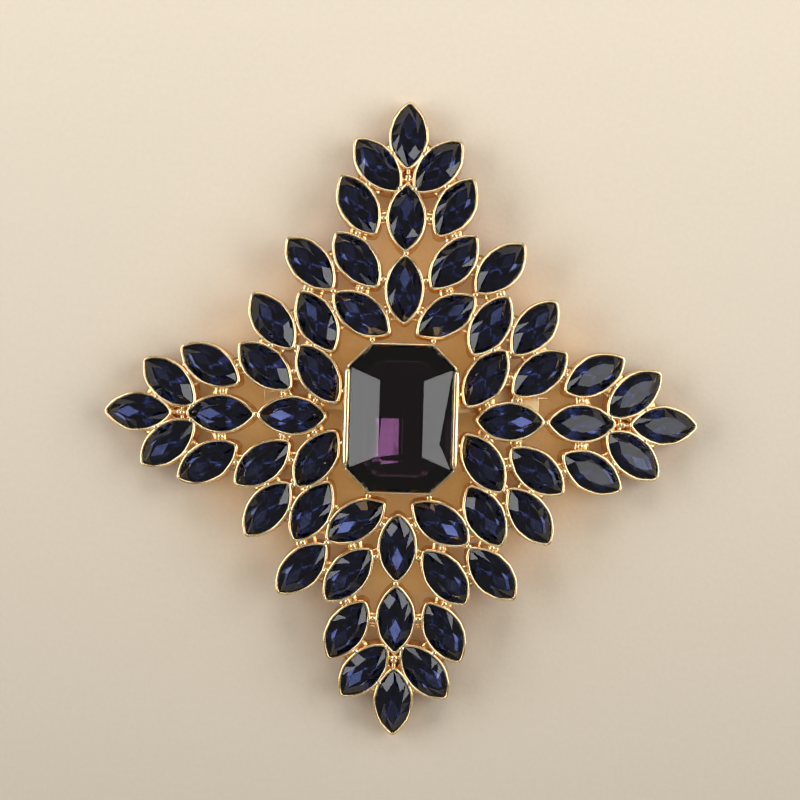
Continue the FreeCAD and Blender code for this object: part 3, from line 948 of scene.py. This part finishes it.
@dataclass
class Bridges:
    """Cast metal between the cups: round bars, low webs in the narrow gaps, and beads at the rims."""

    cups: list[NavetteCup]
    centre: CentreCup
    webs: Shell
    beads: Shell
    reach: float = 2.0
    skin: float = 0.35
    embed: float = 0.2
    bar_radius: float = 0.45
    bar_height: float = 1.5
    bar_waist: float = 0.22
    bar_steps: int = 6
    bar_sides: int = 12
    wide_gap: float = 0.75
    upper_radius: float = 0.34
    upper_height: float = 2.2
    bead_radius: float = 0.42
    bead_height: float = 2.5
    bead_flatness: float = 0.9
    bead_wobble: float = 0.16
    bead_waves: float = 900.0
    bead_steps: int = 8
    bead_sides: int = 14
    web_reach: float = 1.3
    web_embed: float = 0.2
    web_low: float = 0.8
    web_top: float = 2.15
    web_sag: float = 0.22
    web_steps: int = 8

    def joints(self) -> list[Joint]:
        """Find every narrow gap.

        Returns:
            One joint for each pair of cups that come close.
        """
        settings = [self.centre, *self.cups]
        rings = [np.array(each.outline(self.skin, self.bar_height))[:, :2] for each in settings]
        found = []
        for one in range(len(settings)):
            for other in range(one + 1, len(settings)):
                gaps = np.linalg.norm(rings[one][:, None] - rings[other][None], axis=2) / MM
                first, second = np.unravel_index(gaps.argmin(), gaps.shape)
                gap = float(gaps[first, second])
                if gap < self.reach:
                    found.append(Joint(settings[one], settings[other], int(first), int(second), gap))
        return found

    def ends(self, joint: Joint, height: float) -> tuple[Vector, Vector]:
        """Both ends of a joint, sunk into the walls.

        Args:
            joint: the two cups and where they come close.
            height: height over the base of the second cup, which is never the centre one.

        Returns:
            A point in each cup's wall, at one level.
        """
        end = joint.other.outline(self.skin - self.embed, height)[joint.second]
        start = joint.one.outline(self.skin - self.embed, height)[joint.first]
        if joint.one is self.centre:
            start.z = end.z
        return start, end

    def build_bar(self, joint: Joint, height: float, radius: float) -> None:
        """Cast one round bar, waisted in its middle.

        Args:
            joint: where it goes.
            height: its axis over the cups' bases.
            radius: its radius at both ends.
        """
        start, end = self.ends(joint, height)
        line = (end - start).normalized()
        aside = line.cross(Vector((0, 0, 1))).normalized()
        upward = aside.cross(line)
        rings = []
        for step in range(self.bar_steps + 1):
            share = step / self.bar_steps
            swell = radius * MM * (1 - self.bar_waist * math.sin(math.pi * share))
            middle = start.lerp(end, share)
            points = [
                middle + (aside * math.cos(angle) + upward * math.sin(angle)) * swell
                for angle in (-2 * math.pi * turn / self.bar_sides for turn in range(self.bar_sides))
            ]
            rings.append(self.webs.ring(points, WearAndShade.BAR))
        self.webs.lofted(rings)

    def build_bead(self, joint: Joint) -> None:
        """Set one bead in a joint.

        Args:
            joint: where it goes.
        """
        start, end = self.ends(joint, self.bead_height)
        middle, radius = (start + end) / 2, self.bead_radius * MM
        rings = []
        for step in range(1, self.bead_steps):
            tilt = math.pi * step / self.bead_steps
            level = middle - Vector((0, 0, math.cos(tilt) * radius * self.bead_flatness))
            points = []
            for turn in range(self.bead_sides):
                angle = 2 * math.pi * turn / self.bead_sides
                out = Vector((math.cos(angle), math.sin(angle), 0)) * math.sin(tilt) * radius
                uneven = 1 + self.bead_wobble * noise.noise((level + out) * self.bead_waves)
                points.append(level + out * uneven)
            # The bead grows lighter toward its top: rubbing wear with a painted highlight, its lower
            # side in painted shade.
            wear_and_highlight = WearAndShade.BEAD + (WearAndShade.FULL - WearAndShade.BEAD) * step / self.bead_steps
            rings.append(self.beads.ring(points, wear_and_highlight))
        self.beads.lofted(rings)

    def build_web(self, joint: Joint) -> None:
        """Fill the narrow part of a gap with a low web.

        Args:
            joint: the two cups and where they come close.
        """
        rows = [
            (joint.one.outline(self.web_embed, height), joint.other.outline(self.web_embed, height))
            for height in (self.web_low, self.web_top)
        ]
        one_count, other_count = len(rows[0][0]), len(rows[0][1])
        spots: list[tuple[int, int]] = []
        for way, nearest in ((-1, 1), (1, 0)):
            for step in range(nearest, self.web_steps + 1):
                index = (joint.first + way * step) % one_count
                facing = (joint.second - way * step) % other_count
                if (rows[1][0][index] - rows[1][1][facing]).length / MM > self.web_reach:
                    break
                spots.insert(0 if way < 0 else len(spots), (index, facing))
        if len(spots) < 2:
            return
        rings = []
        for index, facing in spots:
            low_one, low_other = rows[0][0][index], rows[0][1][facing]
            top_one, top_other = rows[1][0][index], rows[1][1][facing]
            sag = (top_one + top_other) / 2 - Vector((0, 0, self.web_sag * MM))
            rings.append(self.webs.ring([low_one, top_one, sag, top_other, low_other], WearAndShade.WEB))
        self.webs.lofted(rings)

    def build(self) -> None:
        """Cast a bar, a web and a bead into every narrow gap, and a second bar where it is wider."""
        for joint in self.joints():
            self.build_bar(joint, self.bar_height, self.bar_radius)
            if joint.one is not self.centre:
                self.build_web(joint)
            self.build_bead(joint)
            if joint.gap > self.wide_gap:
                self.build_bar(joint, self.upper_height, self.upper_radius)


@dataclass
class Casting:
    """The cast frame: fifty-six navette cups, the centre cup, and what joins them."""

    finish: Plating = CAST_GOLD

    def build(self, seats: Sequence[Seat], centre: Seat) -> None:
        """Cast and plate the frame.

        Args:
            seats: seats of all the navette stones.
            centre: seat of the centre stone.
        """
        plate = self.finish.material()
        cups = [NavetteCup(seat) for seat in seats]
        middle = CentreCup(centre)
        small, large, webs, beads = Shell(), Shell(), Shell(), Shell()
        for cup in cups:
            cup.build(small)
        middle.build(large)
        for side in (1, -1):
            middle.build_rail(large, side)
        Bridges(cups, middle, webs, beads).build()
        for name, shell in (
            ("navette_cups", small), ("centre_cup", large), ("cast_bridges", webs), ("rim_beads", beads)
        ):
            shell.piece(name, [plate], Slot.CAST, Body.BROOCH, ["cast_frame"])


# ---- stones


@dataclass
class NavetteStones:
    """All the navy navette stones, each in the place of its solid."""

    cut: NavetteCut = NavetteCut()
    crystal: Crystal = NAVY_CRYSTAL
    foil: Foil = NAVY_FOIL

    def build(self) -> list[Seat]:
        """Cut and set the stones.

        Returns:
            The seats of all of them.
        """
        coats = [self.crystal.material(), self.foil.material()]
        taken = []
        for node in sorted(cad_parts):
            if not node.endswith(("_stone", "_pair")) or node == "centre_stone":
                continue
            shell = Shell()
            for seat in seats_of(node):
                self.cut.build(shell, seat)
                taken.append(seat)
            name = node.replace("_stone", "_navette").replace("_pair", "_navettes")
            shell.piece(name, coats, Slot.NAVY, Body.BROOCH, [node])
        return taken


@dataclass
class CentreStone:
    """Large step-cut stone: an octagon whose crown and pavilion fall in straight steps."""

    width: float = 13.0
    length: float = 18.0
    corner: float = 2.75
    girdle: float = 0.5
    pavilion: float = 3.0
    crown_steps: tuple[tuple[float, float], ...] = ((0.25, 0.34), (3.8, 2.28))
    belt_inset: float = 2.6
    belt_depth: float = 2.5
    peak: tuple[float, float] = (4.8, -3.0)
    break_rises: tuple[float, float] = (0.14, 0.30)
    flash_width: float = 2.4
    flash_length: float = 4.4
    flash_depth: float = 0.8
    flash_end: float = 0.1
    step_end: float = 0.25
    slant: float = 0.4
    crystal: Crystal = PURPLE_CRYSTAL
    foil: Foil = PURPLE_FOIL
    flash: Foil = PURPLE_FLASH

    def seat(self) -> Seat:
        """Read where the stone sits from its solid.

        Returns:
            Its seat.
        """
        low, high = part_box("centre_stone")
        girdle_middle = low.z + (self.pavilion + self.girdle / 2) * MM
        middle = Vector(((low.x + high.x) / 2, (low.y + high.y) / 2, girdle_middle))
        return Seat(middle, Vector((0, 1, 0)), Vector((1, 0, 0)), Vector((0, 0, 1)))

    def split(
        self, shell: Shell, seat: Seat, corners: Sequence[Vertex], side: int, rise: float
    ) -> None:
        """Cut one long side of the crown into four facets that meet a little above its plane.

        Args:
            shell: mesh the stone goes into.
            seat: place of the stone.
            corners: the side's corners, two at the girdle and then two at the table.
            side: 1 for the right side, -1 for the left.
            rise: height of the meeting point over the plane.
        """
        across, up = self.peak
        outer_inset, outer_height = self.crown_steps[0]
        inner_inset, inner_height = self.crown_steps[1]
        share = (self.width / 2 - outer_inset - across) / (inner_inset - outer_inset)
        height = self.girdle / 2 + outer_height + (inner_height - outer_height) * share + rise
        peak = shell.ring([seat.place((side * across, up), height)])[0]
        for index in range(4):
            shell.face((corners[index], corners[(index + 1) % 4], peak), Side.CRYSTAL.value)

    def culet(self, shell: Shell, seat: Seat, belt: Sequence[Vertex]) -> None:
        """Close the stone's back: nearly flat, with one lower facet sloped to the side light.

        Args:
            shell: mesh the stone goes into.
            seat: place of the stone.
            belt: corners the back starts from, counter-clockwise from the upper right.
        """
        foil = Side.FOIL.value
        level = -self.girdle / 2 - self.belt_depth
        across, length = self.flash_width, self.flash_length
        high_top, high_low, deep_top, deep_low, step_top, step_low = shell.ring([
            seat.place((-across, 0), level),
            seat.place((-across - self.slant, -length - self.slant), level),
            seat.place((self.flash_end, 0), level - self.flash_depth),
            seat.place((self.flash_end, -length), level - self.flash_depth),
            seat.place((self.step_end, 0), level),
            seat.place((self.step_end, -length), level),
        ])
        shell.face((high_top, high_low, deep_low, deep_top), Side.FLASH.value)
        shell.face((deep_top, deep_low, step_low, step_top), foil)
        shell.face((high_top, deep_top, step_top), foil)
        shell.face((high_low, step_low, deep_low), foil)
        rim = (step_top, high_top, high_low, step_low)
        count = len(belt)
        for index, corner in enumerate(belt):
            after = (index + 1) % count
            near, beyond = rim[index * len(rim) // count], rim[after * len(rim) // count]
            inner = (near,) if near is beyond else (beyond, near)
            shell.face((corner, belt[after], *inner), foil)

    def build(self) -> Seat:
        """Cut, foil and set the stone.

        Returns:
            Its seat.
        """
        seat = self.seat()
        shell = Shell()
        half = self.girdle / 2
        crystal, foil = Side.CRYSTAL.value, Side.FOIL.value

        def corners(inset: float, height: float) -> list[Vertex]:
            """Ring of the stone's corners at one inset and height."""
            flats = octagon(self.width, self.length, self.corner, inset)
            return shell.ring([seat.place(flat, height) for flat in flats])

        above = [corners(0, half)]
        above += [corners(inset, half + height) for inset, height in self.crown_steps]
        below = [corners(0, -half), corners(self.belt_inset, -half - self.belt_depth)]
        shell.face(above[-1], crystal)
        shell.band(below[0], above[0], smooth=False)
        count = len(above[0])
        right, left = count - 1, count // 2 - 1
        for rings, coat in ((above, crystal), (below, foil)):
            for lower, upper in zip(rings, rings[1:]):
                for index in range(count):
                    after = (index + 1) % count
                    facet = (lower[index], lower[after], upper[after], upper[index])
                    if upper is above[-1] and index in (left, right):
                        side = 1 if index == right else -1
                        self.split(shell, seat, facet, side, self.break_rises[index == right])
                    else:
                        shell.face(facet, coat)
        self.culet(shell, seat, below[-1])
        coats = [coat.material() for coat in (self.crystal, self.foil, self.flash)]
        shell.piece("centre_step_cut", coats, Slot.PURPLE, Body.BROOCH, ["centre_stone"])
        return seat


# ---- pin and catch


@dataclass(frozen=True)
class Finding:
    """One stamped or drawn piece of the pin, with its edges softened."""

    node: str
    name: str
    body: Body
    slot: Slot
    softness: float = 0.1
    rounding: int = 3
    flat_angle: float = 1.0
    edge_angle: float = 40.0

    def build(self, finish: bpy.types.Material) -> None:
        """Make the piece from its solid.

        Args:
            finish: plating it gets.
        """
        shell = Shell()
        shell.mesh.from_mesh(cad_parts[self.node].data)
        mesh = shell.mesh
        shell.wear_and_shade = mesh.verts.layers.float.get("wear_and_shade") or mesh.verts.layers.float.new("wear_and_shade")
        bmesh.ops.remove_doubles(mesh, verts=mesh.verts, dist=WELD)
        flat = math.radians(self.flat_angle)
        bmesh.ops.dissolve_limit(mesh, angle_limit=flat, verts=mesh.verts, edges=mesh.edges)
        for vertex in mesh.verts:
            vertex[shell.wear_and_shade] = WearAndShade.FINDING
        for face in mesh.faces:
            face.material_index = 0
            face.smooth = True
        piece = shell.piece(self.name, [finish], self.slot, self.body, [self.node])
        soft = piece.modifiers.new("softened", "BEVEL")
        soft.width = self.softness * MM
        soft.segments = self.rounding
        soft.limit_method = "ANGLE"
        soft.angle_limit = math.radians(self.edge_angle)
        soft.harden_normals = True


@dataclass(frozen=True)
class PinAssembly:
    """Stamped bar with its hinge, the swinging stem, and the turning safety catch."""

    def build(self) -> None:
        """Make and plate all five pieces."""
        stamped, wire = STAMPED_GOLD.material(), GILT_WIRE.material()
        for finding, finish in (
            (Finding("pin_bar", "stamped_pin_bar", Body.BROOCH, Slot.STAMPED), stamped),
            (Finding("hinge_rivet", "headed_rivet", Body.BROOCH, Slot.STAMPED, 0.06), stamped),
            (Finding("pin_stem", "drawn_pin_stem", Body.PIN, Slot.WIRE, 0.06), wire),
            (Finding("catch_housing", "stamped_catch", Body.BROOCH, Slot.STAMPED, 0.06), stamped),
            (Finding("catch_lock", "turning_lock", Body.LOCK, Slot.STAMPED, 0.06), stamped),
        ):
            finding.build(finish)


# ---- studio


@dataclass(frozen=True)
class Softbox:
    """Soft panel of light aimed at the brooch."""

    name: str
    heading: float
    elevation: float
    distance: float
    across: float
    tall: float
    radiance: float
    colour: tuple[float, float, float] = (1.0, 1.0, 1.0)

    def build(self) -> bpy.types.Object:
        """Hang the panel, facing the brooch.

        Returns:
            The lamp.
        """
        lamp = bpy.data.lights.new(self.name, "AREA")
        lamp.shape = "RECTANGLE"
        lamp.size = self.across
        lamp.size_y = self.tall
        lamp.energy = self.radiance * math.pi * self.across * self.tall
        lamp.color = self.colour
        made = bpy.data.objects.new(self.name, lamp)
        heading, elevation = math.radians(self.heading), math.radians(self.elevation)
        direction = Vector((
            math.cos(heading) * math.cos(elevation),
            math.sin(heading) * math.cos(elevation),
            math.sin(elevation),
        ))
        made.location = direction * self.distance
        made.rotation_euler = direction.to_track_quat("Z", "Y").to_euler()
        bpy.context.scene.collection.objects.link(made)
        return made


@dataclass(frozen=True)
class Studio:
    """Pale floor, soft panels, dim surroundings and the camera overhead."""

    softboxes: tuple[Softbox, ...] = (
        Softbox("right_softbox", 8, 34, 0.7, across=0.66, tall=0.40, radiance=3.7),
        Softbox("left_softbox", 172, 34, 0.7, across=0.66, tall=0.40, radiance=3.7),
        Softbox("upper_panel", 90, 49, 0.6, across=0.34, tall=0.16, radiance=3.1),
        Softbox("lower_panel", 270, 47, 0.7, across=0.50, tall=0.14, radiance=1.2),
        Softbox("right_panel", 10, 61, 0.8, across=0.34, tall=0.28, radiance=2.0),
    )
    glow: Softbox = Softbox("gilt_glow", 0, 90, 0.01, 0.044, 0.044, 3.2, (1.0, 0.62, 0.20))
    glow_turn: float = 45.0
    surroundings: Colour = (1.0, 0.96, 0.9, 1.0)
    surroundings_strength: float = 0.2
    floor_half: float = 1.5
    film_width: float = 36.0
    camera_height: float = 1.0
    view_width: float = 0.0994
    lean: float = 1.6
    aim: tuple[float, float] = (-0.00012, 0.0023)

    def build(self) -> None:
        """Set the studio up."""
        for softbox in self.softboxes:
            softbox.build()
        self.build_floor()
        self.build_glow()
        self.build_world()
        self.build_camera()

    def build_floor(self) -> None:
        """Lay the cloth."""
        mesh = bmesh.new()
        corners = [
            mesh.verts.new((x * self.floor_half, y * self.floor_half, 0))
            for x, y in ((-1, -1), (1, -1), (1, 1), (-1, 1))
        ]
        mesh.faces.new(corners)
        data = bpy.data.meshes.new("cloth")
        mesh.to_mesh(data)
        mesh.free()
        data.materials.append(Cloth().material())
        floor = bpy.data.objects.new("cloth", data)
        bpy.context.scene.collection.objects.link(floor)
        floor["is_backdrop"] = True

    def build_glow(self) -> None:
        """Throw warm light on the cloth, as the gilt backs of the cups do."""
        glow = self.glow.build()
        glow.location = (0, 0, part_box("centre_stone")[0].z)
        glow.rotation_euler = (0, 0, math.radians(self.glow_turn))
        glow.visible_camera = False
        glow.visible_glossy = False
        glow.visible_transmission = False

    def build_world(self) -> None:
        """Dim, even surroundings and plain colour rendering."""
        world = bpy.data.worlds.new("surroundings")
        world.use_nodes = True
        background = world.node_tree.nodes["Background"]
        background.inputs["Color"].default_value = self.surroundings
        background.inputs["Strength"].default_value = self.surroundings_strength
        scene = bpy.context.scene
        scene.world = world
        scene.view_settings.view_transform = "Standard"
        scene.cycles.diffuse_bounces = 6
        scene.cycles.glossy_bounces = 8

    def build_camera(self) -> None:
        """Hang the camera straight above, turned by the brooch's small lean."""
        data = bpy.data.cameras.new("camera")
        data.sensor_width = self.film_width
        data.lens = data.sensor_width * self.camera_height / self.view_width
        camera = bpy.data.objects.new("camera", data)
        turn = math.radians(self.lean)
        across, up = self.aim
        camera.location = (
            across * math.cos(turn) - up * math.sin(turn),
            across * math.sin(turn) + up * math.cos(turn),
            self.camera_height,
        )
        camera.rotation_euler = (0, 0, turn)
        bpy.context.scene.collection.objects.link(camera)
        bpy.context.scene.camera = camera


def main() -> None:
    """Build the brooch and its studio, piece by piece."""
    logging.basicConfig(level=logging.INFO, format="%(name)s %(message)s")
    seats = NavetteStones().build()
    centre = CentreStone().build()
    Casting().build(seats, centre)
    PinAssembly().build()
    Studio().build()
    boxes = {"cad": CAD_BOX, "visual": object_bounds()}
    {name: [list(corner) for corner in box] for name, box in boxes.items()}


if __name__ == "__main__":
    main()
